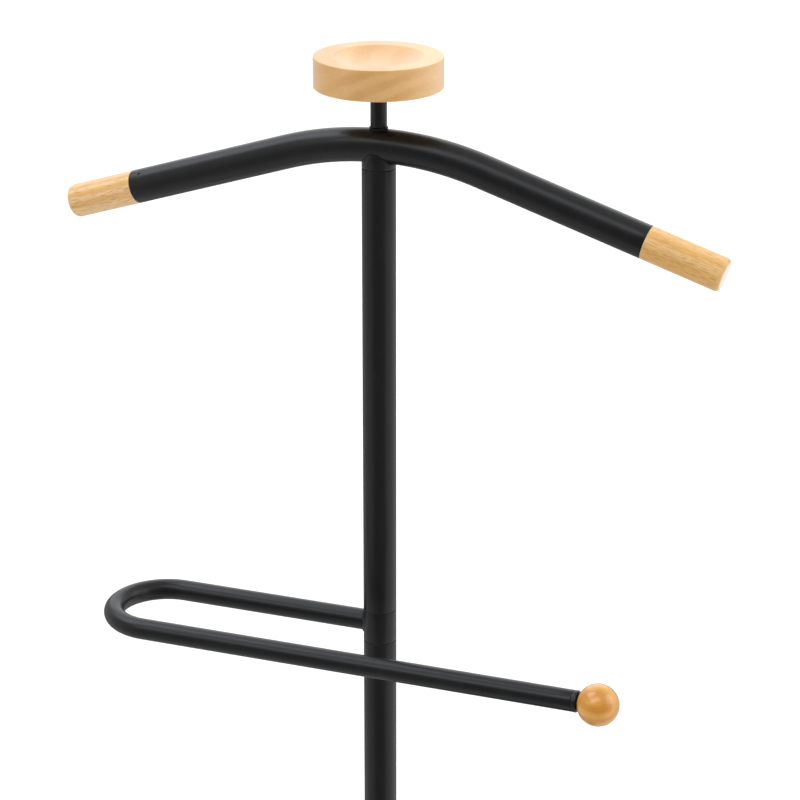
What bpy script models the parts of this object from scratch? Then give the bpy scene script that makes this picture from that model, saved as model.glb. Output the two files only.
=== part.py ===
"""Valet stand: a floor stand with a shoulder bar, a hairpin trouser bar and a small wooden tray.

Metres, +Z up.  The origin is on the floor, on the axis of the post.  The shoulder bar runs along X,
and the trouser bar's free leg runs in front of the post, on the -Y side.
"""
import math

import bmesh
import bpy
from mathutils import Matrix, Vector

# Overall heights
apexHeight = 1.020        # centre line of the shoulder bar above the floor, at its highest point
trayRise = 0.066          # tray rim above that centre line
saddleDrop = 0.0165       # joint between saddle and post, below that centre line
collarTopDrop = 0.3650
collarBottomDrop = 0.3905
trouserDrop = 0.3765

# Post and fits
postRadius = 0.0125
tubeWall = 0.0012
gap = 0.0003              # clearance between pieces that touch
seam = gap / 2
plugRadius = postRadius - tubeWall - gap
plugLength = 0.020
threadRelief = 0.001      # a stud stops this far short of the bottom of its hole
cutReach = 0.030          # how far the long cutters reach each way
cutPast = 0.002           # how far a cutter starts outside the surface it cuts

# Shoulder bar
barShift = 0.0037         # the bar sits this far towards its right arm
bendRadius = 0.250
armSlope = math.radians(17.7)
armLength = 0.128         # straight tube from the end of the bend to the wooden end
leftEndLength = 0.0556    # wood that shows beyond the tube
rightEndLength = 0.0606
endSpigot = 0.030
tipRound = 0.003
pinRadius = 0.0008
pinInset = 0.0085
pinTilt = math.radians(36)
pinDepth = 0.009

# Saddle, stem and clamp stud
saddleHorn = 0.0045       # the saddle's two horns end this far below the bar's centre line
spigotDepth = 0.010
studRadius = 0.004
stemRadius = 0.006
stemFoot = 0.0140         # foot of the stem above the bar's centre line
washerRadius = 0.0068
washerFoot = 0.008        # below the bar's skin, so that the washer is coped by it
stemSocket = 0.012

# Tray
trayRadius = 0.047
trayThickness = 0.0225
dishRadius = 0.033
dishDepth = 0.0065
trayChamfer = 0.0006
insertRadius = 0.0045
insertLength = 0.009
trayStudRadius = 0.003
trayStudSocket = 0.010

# Trouser bar and its collar
barRadius = 0.008
legSpacing = 0.077
turnCentre = -0.164       # centre of the U-turn along X
capEnd = 0.1833           # outer end of the end cap along X
capFlange = 0.0037
capRadius = 0.0081
capRound = 0.0012
capSpigot = 0.012
ballCentre = 0.1983
ballRadius = 0.01555
ballStudRadius = 0.002
ballSocket = 0.011
collarBore = 0.0095
couplingRadius = 0.005
legReach = 0.009          # the rear leg is coped from here, this far left of the post's axis

# Base
baseRadius = 0.150
baseThickness = 0.008
baseRound = 0.004
baseChamfer = 0.001
padRadius = 0.012
padHeight = 0.003
padChamfer = 0.001
padCircle = 0.130
counterboreRadius = 0.0095
counterboreDepth = 0.005
boltHeadRadius = 0.0070
boltHeadHeight = 0.004
boltReach = 0.034
boltSocketAcross = 0.0060
boltSocketDepth = 0.0025
washerThickness = 0.0012
washerRim = 0.001         # the base's washer is this much wider than the bolt's head
basePlugLength = 0.025

saddleJoint = apexHeight - saddleDrop
collarTop = apexHeight - collarTopDrop
collarBottom = apexHeight - collarBottomDrop
trouserHeight = apexHeight - trouserDrop
plateBottom = padHeight + gap
plateTop = plateBottom + baseThickness
trayTop = apexHeight + trayRise
trayBottom = trayTop - trayThickness
stemTop = trayBottom - gap


def clearScene():
    for item in list(bpy.data.objects):
        bpy.data.objects.remove(item, do_unlink=True)


def makeMaterial(name, colour, roughness, metallic=0.0):
    material = bpy.data.materials.new(name)
    material.use_nodes = True
    shader = material.node_tree.nodes["Principled BSDF"]
    shader.inputs["Base Color"].default_value = (*colour, 1.0)
    shader.inputs["Roughness"].default_value = roughness
    shader.inputs["Metallic"].default_value = metallic
    return material


def makeAxis(name, height):
    """An empty on the post's axis, which carries everything that turns there."""
    axis = bpy.data.objects.new(name, None)
    axis.location = (0.0, 0.0, height)
    bpy.context.scene.collection.objects.link(axis)
    return axis


def makePiece(name, bm, material, parent=None, matrix=None):
    """Turn a bmesh in world coordinates, or in the given matrix's, into a named object."""
    bmesh.ops.recalc_face_normals(bm, faces=bm.faces)
    mesh = bpy.data.meshes.new(name)
    bm.to_mesh(mesh)
    bm.free()
    mesh.materials.append(material)
    mesh.shade_smooth()
    mesh.set_sharp_from_angle(angle=math.radians(35))
    piece = bpy.data.objects.new(name, mesh)
    bpy.context.scene.collection.objects.link(piece)
    place = matrix or Matrix.Identity(4)
    if parent is not None:
        mesh.transform(Matrix.Translation(-parent.location) @ place)
        piece.parent = parent
    else:
        piece.matrix_world = place
    return piece


def makeCutter(name, bm, matrix=None):
    """A solid that only cuts: it is left out of the model."""
    bmesh.ops.recalc_face_normals(bm, faces=bm.faces)
    mesh = bpy.data.meshes.new(name)
    bm.to_mesh(mesh)
    bm.free()
    mesh.transform(matrix or Matrix.Identity(4))
    cutter = bpy.data.objects.new(name, mesh)
    cutter.hide_render = True
    cutter.display_type = "WIRE"
    bpy.context.scene.collection.objects.link(cutter)
    return cutter


def cut(piece, cutter):
    modifier = piece.modifiers.new(cutter.name, "BOOLEAN")
    modifier.operation = "DIFFERENCE"
    modifier.solver = "EXACT"
    modifier.object = cutter


def turned(profile, steps, closed=False):
    """Spin a profile of (radius, height) points round the Z axis."""
    bm = bmesh.new()
    corners = [bm.verts.new((radius, 0.0, height)) for radius, height in profile]
    pairs = list(zip(corners, corners[1:]))
    if closed:
        pairs.append((corners[-1], corners[0]))
    edges = [bm.edges.new(pair) for pair in pairs]
    bmesh.ops.spin(bm, geom=corners + edges, cent=(0, 0, 0), axis=(0, 0, 1),
                   angle=math.tau, steps=steps, use_merge=True)
    bmesh.ops.remove_doubles(bm, verts=bm.verts, dist=1e-6)
    return bm


def rod(radius, low, high, steps=24):
    return turned([(0.0, low), (radius, low), (radius, high), (0.0, high)], steps)


def sleeve(outer, inner, low, high, steps=32):
    profile = [(inner, low), (outer, low), (outer, high), (inner, high)]
    return turned(profile, steps, closed=True)


def arc(centre, radius, start, end, steps):
    """Points on an arc in a profile's plane, with angles in degrees from the radius axis."""
    points = []
    for index in range(steps + 1):
        angle = math.radians(start + (end - start) * index / steps)
        points.append((centre[0] + radius * math.cos(angle), centre[1] + radius * math.sin(angle)))
    return points


def swept(stations, outer, inner, sides):
    """A round tube, or a rod where inner is 0, through stations of (centre, across, up)."""
    bm = bmesh.new()

    def ring(station, radius):
        centre, across, up = station
        angles = [math.tau * index / sides for index in range(sides)]
        return [bm.verts.new(centre + radius * (math.cos(a) * across + math.sin(a) * up)) for a in angles]

    def bridge(first, second):
        for index in range(sides):
            after = (index + 1) % sides
            bm.faces.new((first[index], first[after], second[after], second[index]))

    skin = [ring(station, outer) for station in stations]
    for first, second in zip(skin, skin[1:]):
        bridge(first, second)
    if inner:
        bore = [ring(station, inner) for station in stations]
        for first, second in zip(bore, bore[1:]):
            bridge(second, first)
        bridge(bore[0], skin[0])
        bridge(skin[-1], bore[-1])
    else:
        bm.faces.new(list(reversed(skin[0])))
        bm.faces.new(skin[-1])
    return bm


def shoulderStation(angle, along=0.0):
    """A station of the shoulder bar: at an angle of its bend, and then straight on along the arm."""
    tangent = Vector((math.cos(angle), 0.0, -math.sin(angle)))
    up = Vector((math.sin(angle), 0.0, math.cos(angle)))
    crown = Vector((barShift, 0.0, apexHeight - bendRadius))
    return crown + bendRadius * up + along * tangent, Vector((0.0, 1.0, 0.0)), up


def shoulderStations(steps, reach):
    angles = [armSlope * (2 * index / steps - 1) for index in range(steps + 1)]
    bend = [shoulderStation(angle) for angle in angles]
    if not reach:
        return bend
    return [shoulderStation(-armSlope, -reach), *bend, shoulderStation(armSlope, reach)]


def trouserStations(steps, start, end):
    """The hairpin: the rear leg from the collar, the U-turn at the left, and the front leg."""
    up = Vector((0.0, 0.0, 1.0))
    radius = legSpacing / 2
    middle = Vector((turnCentre, -radius, trouserHeight))
    stations = [(Vector((start, 0.0, trouserHeight)), Vector((0.0, 1.0, 0.0)), up)]
    for index in range(steps + 1):
        angle = math.pi * (0.5 + index / steps)
        outward = Vector((math.cos(angle), math.sin(angle), 0.0))
        stations.append((middle + radius * outward, outward, up))
    stations.append((Vector((end, -legSpacing, trouserHeight)), Vector((0.0, -1.0, 0.0)), up))
    return stations


def barEnvelope():
    """The shoulder bar's outside plus the fit: it copes the pieces that straddle the bar."""
    stations = shoulderStations(12, 0.0)
    return makeCutter("bar_envelope", swept(stations, postRadius + gap, 0.0, 48))


def armFrame(side, along):
    """Axes at a point of one arm: Z along the arm outwards, X upwards across it."""
    centre, across, up = shoulderStation(side * armSlope, side * along)
    outward = side * across.cross(up)
    matrix = Matrix((up, outward.cross(up), outward)).transposed().to_4x4()
    matrix.translation = centre
    return matrix


def pinFrame(side):
    """Z points out of the pin's hole, on the front of the left arm and the back of the right one."""
    centre, across, up = shoulderStation(side * armSlope, side * (armLength - pinInset))
    outward = math.cos(pinTilt) * up + side * math.sin(pinTilt) * across
    along = across.cross(up)
    matrix = Matrix((along, outward.cross(along), outward)).transposed().to_4x4()
    matrix.translation = centre
    return matrix


def makeShoulderBar(material, parent, pinHoles):
    stations = shoulderStations(10, armLength)
    bar = makePiece("hanger_bar", swept(stations, postRadius, postRadius - tubeWall, 28), material, parent)
    low = apexHeight - cutReach
    high = apexHeight + cutReach
    cut(bar, makeCutter("stud_hole", rod(studRadius + gap, low, high)))
    for hole in pinHoles:
        cut(bar, hole)


def makeEnd(side, name, length, material, parent, pinHole):
    """A dowel as thick as the tube, with a spigot that plugs into it and a rounded tip."""
    tip = length - gap
    corner = (postRadius - tipRound, tip - tipRound)
    profile = [(0.0, -endSpigot), (plugRadius, -endSpigot), (plugRadius, 0.0), (postRadius, 0.0)]
    profile += arc(corner, tipRound, 0, 90, 3)
    profile.append((0.0, tip))
    end = makePiece(name, turned(profile, 28), material, parent, armFrame(side, armLength + gap))
    cut(end, pinHole)


def makePinHole(side, name):
    bottom = postRadius - pinDepth - gap
    bm = rod(pinRadius + gap, bottom, postRadius + cutPast, 16)
    return makeCutter(name, bm, pinFrame(side))


def makePin(side, name, material, parent):
    bm = rod(pinRadius, postRadius - pinDepth, postRadius, 12)
    makePiece(name, bm, material, parent, pinFrame(side))


def makeSaddle(material, parent, envelope):
    bore = studRadius + gap
    shoulder = saddleJoint + seam
    bottom = saddleJoint - spigotDepth
    top = apexHeight - saddleHorn
    profile = [(bore, bottom), (plugRadius, bottom), (plugRadius, shoulder),
               (postRadius, shoulder), (postRadius, top), (bore, top)]
    saddle = makePiece("hanger_saddle", turned(profile, 40, closed=True), material, parent)
    cut(saddle, envelope)


def makeStemWasher(material, parent, envelope):
    top = apexHeight + stemFoot - gap
    bm = sleeve(washerRadius, studRadius + gap, apexHeight + washerFoot, top, 32)
    cut(makePiece("stem_washer", bm, material, parent), envelope)


def makeStem(material, parent):
    foot = apexHeight + stemFoot
    socket = studRadius + gap
    upper = trayStudRadius + gap
    floor = stemTop - trayStudSocket
    profile = [(0.0, foot + stemSocket), (socket, foot + stemSocket), (socket, foot), (stemRadius, foot),
               (stemRadius, stemTop), (upper, stemTop), (upper, floor), (0.0, floor)]
    makePiece("tray_stem", turned(profile, 32), material, parent)


def makeTray(material, parent):
    """A turned block with a shallow round dish in its top and a blind hole for its insert."""
    sphere = (dishRadius ** 2 + dishDepth ** 2) / (2 * dishDepth)
    half = math.degrees(math.asin(dishRadius / sphere))
    dish = arc((0.0, trayTop - dishDepth + sphere), sphere, -90, -90 + half, 5)
    hole = insertRadius + gap
    roof = trayBottom + insertLength + gap
    profile = [(0.0, trayTop - dishDepth), *dish[1:],
               (trayRadius - trayChamfer, trayTop), (trayRadius, trayTop - trayChamfer),
               (trayRadius, trayBottom + trayChamfer), (trayRadius - trayChamfer, trayBottom),
               (hole, trayBottom), (hole, roof), (0.0, roof)]
    makePiece("tray_dish", turned(profile, 44), material, parent)


def makeTrayFixings(brass, steel, parent):
    insert = sleeve(insertRadius, trayStudRadius + gap, trayBottom, trayBottom + insertLength, 20)
    makePiece("tray_insert", insert, brass, parent)
    foot = stemTop - trayStudSocket + threadRelief
    stud = rod(trayStudRadius, foot, trayBottom + insertLength - gap, 20)
    makePiece("tray_stud", stud, steel, parent)
    low = saddleJoint - spigotDepth - plugLength
    high = apexHeight + stemFoot + stemSocket - gap
    makePiece("clamp_stud", rod(studRadius, low, high), steel, parent)


def makePost(coat, steel):
    inner = postRadius - tubeWall
    upper = sleeve(postRadius, inner, collarTop + seam, saddleJoint - seam, 40)
    makePiece("upper_post_tube", upper, coat)
    lower = sleeve(postRadius, inner, plateTop + gap, collarBottom - seam, 40)
    makePiece("lower_post_tube", lower, coat)
    plugTop = saddleJoint - spigotDepth - gap
    threaded = studRadius + gap
    coupled = couplingRadius + gap
    plugs = (("post_top_plug", threaded, plugTop - plugLength, plugTop),
             ("upper_joint_plug", coupled, collarTop + seam, collarTop + plugLength),
             ("lower_joint_plug", coupled, collarBottom - plugLength, collarBottom - seam),
             ("post_foot_plug", threaded, plateTop + gap, plateTop + basePlugLength))
    for name, bore, low, high in plugs:
        makePiece(name, sleeve(plugRadius, bore, low, high, 28), steel)
    reach = plugLength - threadRelief
    makePiece("coupling_stud", rod(couplingRadius, collarBottom - reach, collarTop + reach), steel)


def makeCollar(coat, nylon, parent):
    low = collarBottom + seam
    high = collarTop - seam
    makePiece("trouser_collar", sleeve(postRadius, collarBore, low, high, 40), coat, parent)
    bush = sleeve(collarBore - gap, couplingRadius + gap, low, high, 28)
    makePiece("collar_bush", bush, nylon, parent)


def makeTrouserBar(material, parent):
    tubeEnd = capEnd - capFlange - gap
    stations = trouserStations(18, -legReach, tubeEnd)
    bar = makePiece("trouser_bar", swept(stations, barRadius, barRadius - tubeWall, 20), material, parent)
    envelope = rod(postRadius + gap, trouserHeight - cutReach, trouserHeight + cutReach, 48)
    cut(bar, makeCutter("collar_envelope", envelope))


def makeBarEnd(plastic, steel, wood, parent):
    """The end cap, the stud through it and the ball on the stud, all turned about the front leg."""
    frame = Matrix.Translation((0.0, -legSpacing, trouserHeight)) @ Matrix.Rotation(math.pi / 2, 4, "Y")
    bore = ballStudRadius + gap
    shoulder = capEnd - capFlange
    corner = (capRadius - capRound, capEnd - capRound)
    spigot = barRadius - tubeWall - gap
    profile = [(bore, shoulder - capSpigot), (spigot, shoulder - capSpigot), (spigot, shoulder),
               (capRadius, shoulder), *arc(corner, capRound, 0, 90, 3), (bore, capEnd)]
    makePiece("bar_end_cap", turned(profile, 24, closed=True), plastic, parent, frame)
    flat = capEnd + gap
    socket = flat + ballSocket
    stud = rod(ballStudRadius, shoulder - capSpigot + threadRelief, socket - gap, 16)
    makePiece("ball_stud", stud, steel, parent, frame)
    start = -math.degrees(math.asin((ballCentre - flat) / ballRadius))
    profile = [(0.0, socket), (bore, socket), (bore, flat)]
    profile += arc((0.0, ballCentre), ballRadius, start, 90, 12)[:-1]
    profile.append((0.0, ballCentre + ballRadius))
    makePiece("trouser_ball", turned(profile, 26), wood, parent, frame)


def makeBase(coat, steel):
    bore = studRadius + gap
    ceiling = plateBottom + counterboreDepth
    corner = (baseRadius - baseRound, plateTop - baseRound)
    profile = [(bore, ceiling), (counterboreRadius, ceiling), (counterboreRadius, plateBottom),
               (baseRadius - baseChamfer, plateBottom), (baseRadius, plateBottom + baseChamfer)]
    profile += arc(corner, baseRound, 0, 90, 3)
    profile.append((bore, plateTop))
    makePiece("base_plate", turned(profile, 60, closed=True), coat)
    washerTop = ceiling - gap
    washerBottom = washerTop - washerThickness
    washer = sleeve(boltHeadRadius + washerRim, bore, washerBottom, washerTop, 24)
    makePiece("base_washer", washer, steel)
    headTop = washerBottom - gap
    headBottom = headTop - boltHeadHeight
    profile = [(0.0, headBottom), (boltHeadRadius, headBottom), (boltHeadRadius, headTop),
               (studRadius, headTop), (studRadius, headTop + boltReach), (0.0, headTop + boltReach)]
    bolt = makePiece("base_bolt", turned(profile, 24), steel)
    keyRadius = boltSocketAcross / math.sqrt(3)
    key = rod(keyRadius, headBottom - cutPast, headBottom + boltSocketDepth, 6)
    cut(bolt, makeCutter("bolt_key", key))


def makePads(material):
    for index in range(4):
        angle = math.radians(45 + 90 * index)
        place = Matrix.Translation((padCircle * math.cos(angle), padCircle * math.sin(angle), 0.0))
        profile = [(0.0, 0.0), (padRadius - padChamfer, 0.0), (padRadius, padChamfer),
                   (padRadius, padHeight), (0.0, padHeight)]
        makePiece(f"floor_pad_{index + 1}", turned(profile, 24), material, None, place)


def main():
    clearScene()
    coat = makeMaterial("black_coat", (0.016, 0.016, 0.018), 0.42)
    paleWood = makeMaterial("pale_wood", (0.74, 0.52, 0.29), 0.48)
    honeyWood = makeMaterial("honey_wood", (0.66, 0.36, 0.10), 0.28)
    steel = makeMaterial("zinc_steel", (0.55, 0.56, 0.58), 0.35, 1.0)
    brass = makeMaterial("brass", (0.75, 0.58, 0.28), 0.35, 1.0)
    nylon = makeMaterial("nylon", (0.80, 0.79, 0.75), 0.5)
    plastic = makeMaterial("black_plastic", (0.014, 0.014, 0.015), 0.38)
    rubber = makeMaterial("rubber", (0.03, 0.03, 0.03), 0.8)

    makeBase(coat, steel)
    makePads(rubber)
    makePost(coat, steel)

    arm = makeAxis("trouser_arm_axis", trouserHeight)
    makeCollar(coat, nylon, arm)
    makeTrouserBar(coat, arm)
    makeBarEnd(plastic, steel, honeyWood, arm)

    head = makeAxis("hanger_head_axis", saddleJoint)
    envelope = barEnvelope()
    pinHoles = [makePinHole(-1, "left_pin_hole"), makePinHole(1, "right_pin_hole")]
    makeShoulderBar(coat, head, pinHoles)
    makeSaddle(coat, head, envelope)
    makeStemWasher(plastic, head, envelope)
    makeStem(coat, head)
    makeTray(paleWood, head)
    makeTrayFixings(brass, steel, head)
    makeEnd(-1, "hanger_end_left", leftEndLength, paleWood, head, pinHoles[0])
    makeEnd(1, "hanger_end_right", rightEndLength, paleWood, head, pinHoles[1])
    makePin(-1, "end_pin_left", coat, head)
    makePin(1, "end_pin_right", coat, head)
    print("valet stand built")


main()
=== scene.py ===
import math

import bmesh
import bpy
from mathutils import Euler, Matrix, Vector


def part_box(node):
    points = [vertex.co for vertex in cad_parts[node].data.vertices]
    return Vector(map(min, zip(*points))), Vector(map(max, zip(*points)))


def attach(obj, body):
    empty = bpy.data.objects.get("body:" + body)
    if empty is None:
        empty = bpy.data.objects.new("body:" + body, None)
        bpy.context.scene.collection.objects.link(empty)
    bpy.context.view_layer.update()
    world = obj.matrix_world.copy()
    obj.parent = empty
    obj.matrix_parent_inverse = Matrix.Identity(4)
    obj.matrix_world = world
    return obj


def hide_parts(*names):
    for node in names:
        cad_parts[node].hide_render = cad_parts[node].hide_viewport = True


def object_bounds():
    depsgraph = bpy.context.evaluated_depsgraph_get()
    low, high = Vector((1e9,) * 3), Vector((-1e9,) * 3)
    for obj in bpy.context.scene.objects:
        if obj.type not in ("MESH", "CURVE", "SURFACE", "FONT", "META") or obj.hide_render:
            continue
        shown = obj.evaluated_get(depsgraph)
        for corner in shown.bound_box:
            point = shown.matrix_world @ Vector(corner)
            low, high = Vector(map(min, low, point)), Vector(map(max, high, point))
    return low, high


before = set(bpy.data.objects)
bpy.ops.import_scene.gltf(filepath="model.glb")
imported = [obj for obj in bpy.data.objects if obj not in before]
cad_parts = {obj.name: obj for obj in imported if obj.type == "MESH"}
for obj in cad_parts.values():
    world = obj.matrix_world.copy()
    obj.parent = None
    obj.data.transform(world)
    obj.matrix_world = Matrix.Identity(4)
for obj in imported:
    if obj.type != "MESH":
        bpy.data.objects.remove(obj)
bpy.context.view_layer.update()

print("valet stand: frame loaded")

fit = 0.0003                # room between two pieces that touch
weldGap = 1e-7              # points closer than this are one point


def middleOf(node):
    low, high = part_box(node)
    return (low + high) / 2


def radiusOf(node):
    low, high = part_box(node)
    return (high.y - low.y) / 2


# sizes that several pieces share, all read from the frame
postRadius = radiusOf("upper_post_tube")
barLow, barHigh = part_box("hanger_bar")
crownZ = barHigh.z - postRadius         # centre line of the shoulder bar at its highest point
crownX = (barLow.x + barHigh.x) / 2
legY = middleOf("trouser_ball").y
trouserZ = middleOf("trouser_ball").z
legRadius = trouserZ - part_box("trouser_bar")[0].z

shot = {
    "aim": Vector((0.01428, 0.00547, 0.8244)),
    "turn": math.radians(20.976),
    "tilt": math.radians(20.260),
    "distance": 2.1240,
    "lens": 128.51,
    "sensor": 36.0,
}

# mesh building: outlines turned or lofted round an axis, tubes swept along stations
softEdge = {
    "share": 0.49,              # most of a side that one rounding may take
    "worn": 0.35,               # wear where a rounding starts and ends
}


def roundedOff(corners, steps=4, closed=False):
    # corners are (radius, height, rounding); gives (radius, height, worn), worn 1 on the rounded edges
    points = []
    count = len(corners)
    for index, (across, height, rounding) in enumerate(corners):
        ends = not closed and index in (0, count - 1)
        if rounding <= 0 or ends:
            points.append((across, height, 0.0))
            continue
        here = Vector((across, height))
        before = Vector(corners[index - 1][:2]) - here
        after = Vector(corners[(index + 1) % count][:2]) - here
        limit = min(before.length, after.length) * softEdge["share"]
        before.normalize()
        after.normalize()
        half = before.angle(after) / 2
        reach = min(rounding / math.tan(half), limit)
        rounding = reach * math.tan(half)
        centre = here + (before + after).normalized() * rounding / math.sin(half)
        first = here + before * reach - centre
        last = here + after * reach - centre
        sweep = first.angle_signed(last)
        for step in range(steps + 1):
            turn = -sweep * step / steps
            spoke = Vector((first.x * math.cos(turn) - first.y * math.sin(turn),
                            first.x * math.sin(turn) + first.y * math.cos(turn)))
            edge = 1.0 if 0 < step < steps else softEdge["worn"]
            points.append((centre.x + spoke.x, centre.y + spoke.y, edge))
    return points


def spaced(points, reach, closed=False):
    # adds points so that no stretch of the outline is longer than reach
    pairs = list(zip(points, points[1:]))
    if closed:
        pairs.append((points[-1], points[0]))
    filled = []
    for first, second in pairs:
        filled.append(first)
        extra = int(math.hypot(second[0] - first[0], second[1] - first[1]) / reach)
        if first[0] < weldGap and second[0] < weldGap:      # along the axis itself
            extra = 0
        for step in range(1, extra + 1):
            share = step / (extra + 1)
            filled.append((first[0] + (second[0] - first[0]) * share,
                           first[1] + (second[1] - first[1]) * share, 0.0))
    if not closed:
        filled.append(points[-1])
    return filled


def finishMesh(name, bm, material, matrix=None, sharp=40):
    bmesh.ops.remove_doubles(bm, verts=bm.verts, dist=weldGap)
    bmesh.ops.recalc_face_normals(bm, faces=bm.faces)
    mesh = bpy.data.meshes.new(name)
    bm.to_mesh(mesh)
    bm.free()
    mesh.materials.append(material)
    mesh.shade_smooth()
    mesh.set_sharp_from_angle(angle=math.radians(sharp))
    mesh.transform(matrix or Matrix.Identity(4))
    piece = bpy.data.objects.new(name, mesh)
    bpy.context.scene.collection.objects.link(piece)
    return piece


def skin(bm, rings, closed=True):
    # quads between each ring and the next, and from the last back to the first
    rows = len(rings[0])
    for index, ring in enumerate(rings):
        after = rings[(index + 1) % len(rings)]
        for row in range(rows if closed else rows - 1):
            over = (row + 1) % rows
            bm.faces.new((ring[row], after[row], after[over], ring[over]))


def loftRound(name, outlines, material, matrix=None, closed=True):
    # one outline of (radius, height, worn) per angle round the Z axis
    bm = bmesh.new()
    worn = bm.verts.layers.float.new("worn")
    columns = []
    for index, outline in enumerate(outlines):
        angle = math.tau * index / len(outlines)
        column = []
        for radius, height, edge in outline:
            vert = bm.verts.new((radius * math.cos(angle), radius * math.sin(angle), height))
            vert[worn] = edge
            column.append(vert)
        columns.append(column)
    skin(bm, columns, closed)
    return finishMesh(name, bm, material, matrix)


def turnRound(name, outline, sides, material, matrix=None, closed=False):
    # an outline that isn't closed starts and ends on the axis
    return loftRound(name, [outline] * sides, material, matrix, closed)


tubeRim = {
    "size": 0.0003,
    "steps": 4,
    "worn": 0.4,                # wear where the rim meets the outside, growing to 1 on the end face
    "boreWorn": (0.6, 0.2),     # and on the two rings of the bore's own bevel
    "boreShare": 0.5,           # that bevel, as a share of the rim
}


def sweepTube(name, stations, outer, inner, sides, material, rim=tubeRim["size"], cope=None):
    # stations are (centre, across, up, along); both ends are rounded, or the start is coped
    bm = bmesh.new()
    worn = bm.verts.layers.float.new("worn")

    def ring(station, radius, edge=0.0, slide=0.0):
        centre, across, up, along = station
        made = []
        for index in range(sides):
            angle = math.tau * index / sides
            spot = centre + slide * along + radius * (math.cos(angle) * across + math.sin(angle) * up)
            vert = bm.verts.new(cope(spot) if cope and station is stations[0] else spot)
            vert[worn] = edge
            made.append(vert)
        return made

    def endRings(station, sign):
        # outer skin to bore, round the rim of one end
        made = []
        low = tubeRim["worn"]
        for step in range(tubeRim["steps"] + 1):
            angle = math.pi / 2 * step / tubeRim["steps"]
            made.append(ring(station, outer - rim * (1 - math.cos(angle)), low + (1 - low) * math.sin(angle),
                             sign * (rim * math.sin(angle) - rim)))
        bevel = rim * tubeRim["boreShare"]
        made.append(ring(station, inner + bevel, tubeRim["boreWorn"][0], 0.0))
        made.append(ring(station, inner, tubeRim["boreWorn"][1], -sign * bevel))
        return made

    if cope:
        rings = [ring(stations[0], inner), ring(stations[0], outer)]
    else:
        rings = list(reversed(endRings(stations[0], -1)))
    rings += [ring(station, outer) for station in stations[1:-1]]
    rings += endRings(stations[-1], 1)
    rings += [ring(station, inner) for station in reversed(stations[1:-1])]
    skin(bm, rings)
    return finishMesh(name, bm, material)


def drill(piece, radius, low, high, matrix, sides=32, sharp=40):
    # cuts a round hole through a finished piece, along the matrix's Z axis
    bm = bmesh.new()
    middle = Matrix.Translation((0, 0, (low + high) / 2))
    bmesh.ops.create_cone(bm, cap_ends=True, segments=sides, radius1=radius, radius2=radius,
                          depth=high - low, matrix=matrix @ middle)
    mesh = bpy.data.meshes.new("drill")
    bm.to_mesh(mesh)
    bm.free()
    cutter = bpy.data.objects.new("drill", mesh)
    bpy.context.scene.collection.objects.link(cutter)
    modifier = piece.modifiers.new("hole", "BOOLEAN")
    modifier.operation = "DIFFERENCE"
    modifier.solver = "EXACT"
    modifier.object = cutter
    bpy.context.view_layer.update()
    cut = bpy.data.meshes.new_from_object(piece.evaluated_get(bpy.context.evaluated_depsgraph_get()))
    piece.modifiers.clear()
    cut.name = piece.name
    piece.data = cut
    cut.shade_smooth()
    cut.set_sharp_from_angle(angle=math.radians(sharp))
    bpy.data.objects.remove(cutter)


def place(piece, body, slot, *nodes):
    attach(piece, body)
    if nodes:
        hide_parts(*nodes)


# material building
def addNode(tree, kind, inputs=None, **settings):
    node = tree.nodes.new("ShaderNode" + kind)
    for key, value in settings.items():
        setattr(node, key, value)
    for key, value in (inputs or {}).items():
        if isinstance(value, bpy.types.NodeSocket):
            tree.links.new(value, node.inputs[key])
        else:
            node.inputs[key].default_value = value
    return node


def newMaterial(name, **fixed):
    material = bpy.data.materials.new(name)
    material.use_nodes = True
    tree = material.node_tree
    shader = tree.nodes["Principled BSDF"]
    for key, value in fixed.items():
        shader.inputs[key.replace("_", " ")].default_value = value
    return material, tree, shader


def localPoint(tree, turn=(0, 0, 0), stretch=(1, 1, 1), shift=(0, 0, 0)):
    # object space, turned and then stretched
    coordinate = addNode(tree, "TexCoord").outputs["Object"]
    return addNode(tree, "Mapping", {"Vector": coordinate, "Location": shift, "Rotation": turn,
                                     "Scale": stretch}, vector_type="TEXTURE").outputs[0]


def noise(tree, point, scale, detail=3.0, rough=0.5, warp=0.0):
    return addNode(tree, "TexNoise", {"Vector": point, "Scale": scale, "Detail": detail,
                                      "Roughness": rough, "Distortion": warp}).outputs[0]


def remap(tree, value, low, high, toLow=0.0, toHigh=1.0, curve="LINEAR"):
    return addNode(tree, "MapRange", {"Value": value, "From Min": low, "From Max": high,
                                      "To Min": toLow, "To Max": toHigh},
                   interpolation_type=curve).outputs[0]


def combine(tree, operation, first, second):
    return addNode(tree, "Math", {0: first, 1: second}, operation=operation).outputs[0]


def reachAlong(tree, vector, axis):
    # how far a vector reaches along an axis
    return addNode(tree, "VectorMath", {0: vector, 1: axis}, operation="DOT_PRODUCT").outputs["Value"]


def blendColour(tree, share, first, second, mode="MIX"):
    node = addNode(tree, "Mix", {0: share, 6: first, 7: second}, data_type="RGBA", blend_type=mode)
    return node.outputs[2]


def shaded(tree, colour, shade):
    grey = addNode(tree, "CombineColor", {0: shade, 1: shade, 2: shade}).outputs[0]
    return blendColour(tree, 1.0, colour, grey, "MULTIPLY")


def rgb(red, green, blue):
    return (red, green, blue, 1.0)


def edgeWear(tree):
    return addNode(tree, "Attribute", attribute_name="worn").outputs["Fac"]


def bumped(tree, shader, height, strength, distance):
    bump = addNode(tree, "Bump", {"Height": height, "Strength": strength, "Distance": distance})
    tree.links.new(bump.outputs[0], shader.inputs["Normal"])


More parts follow.
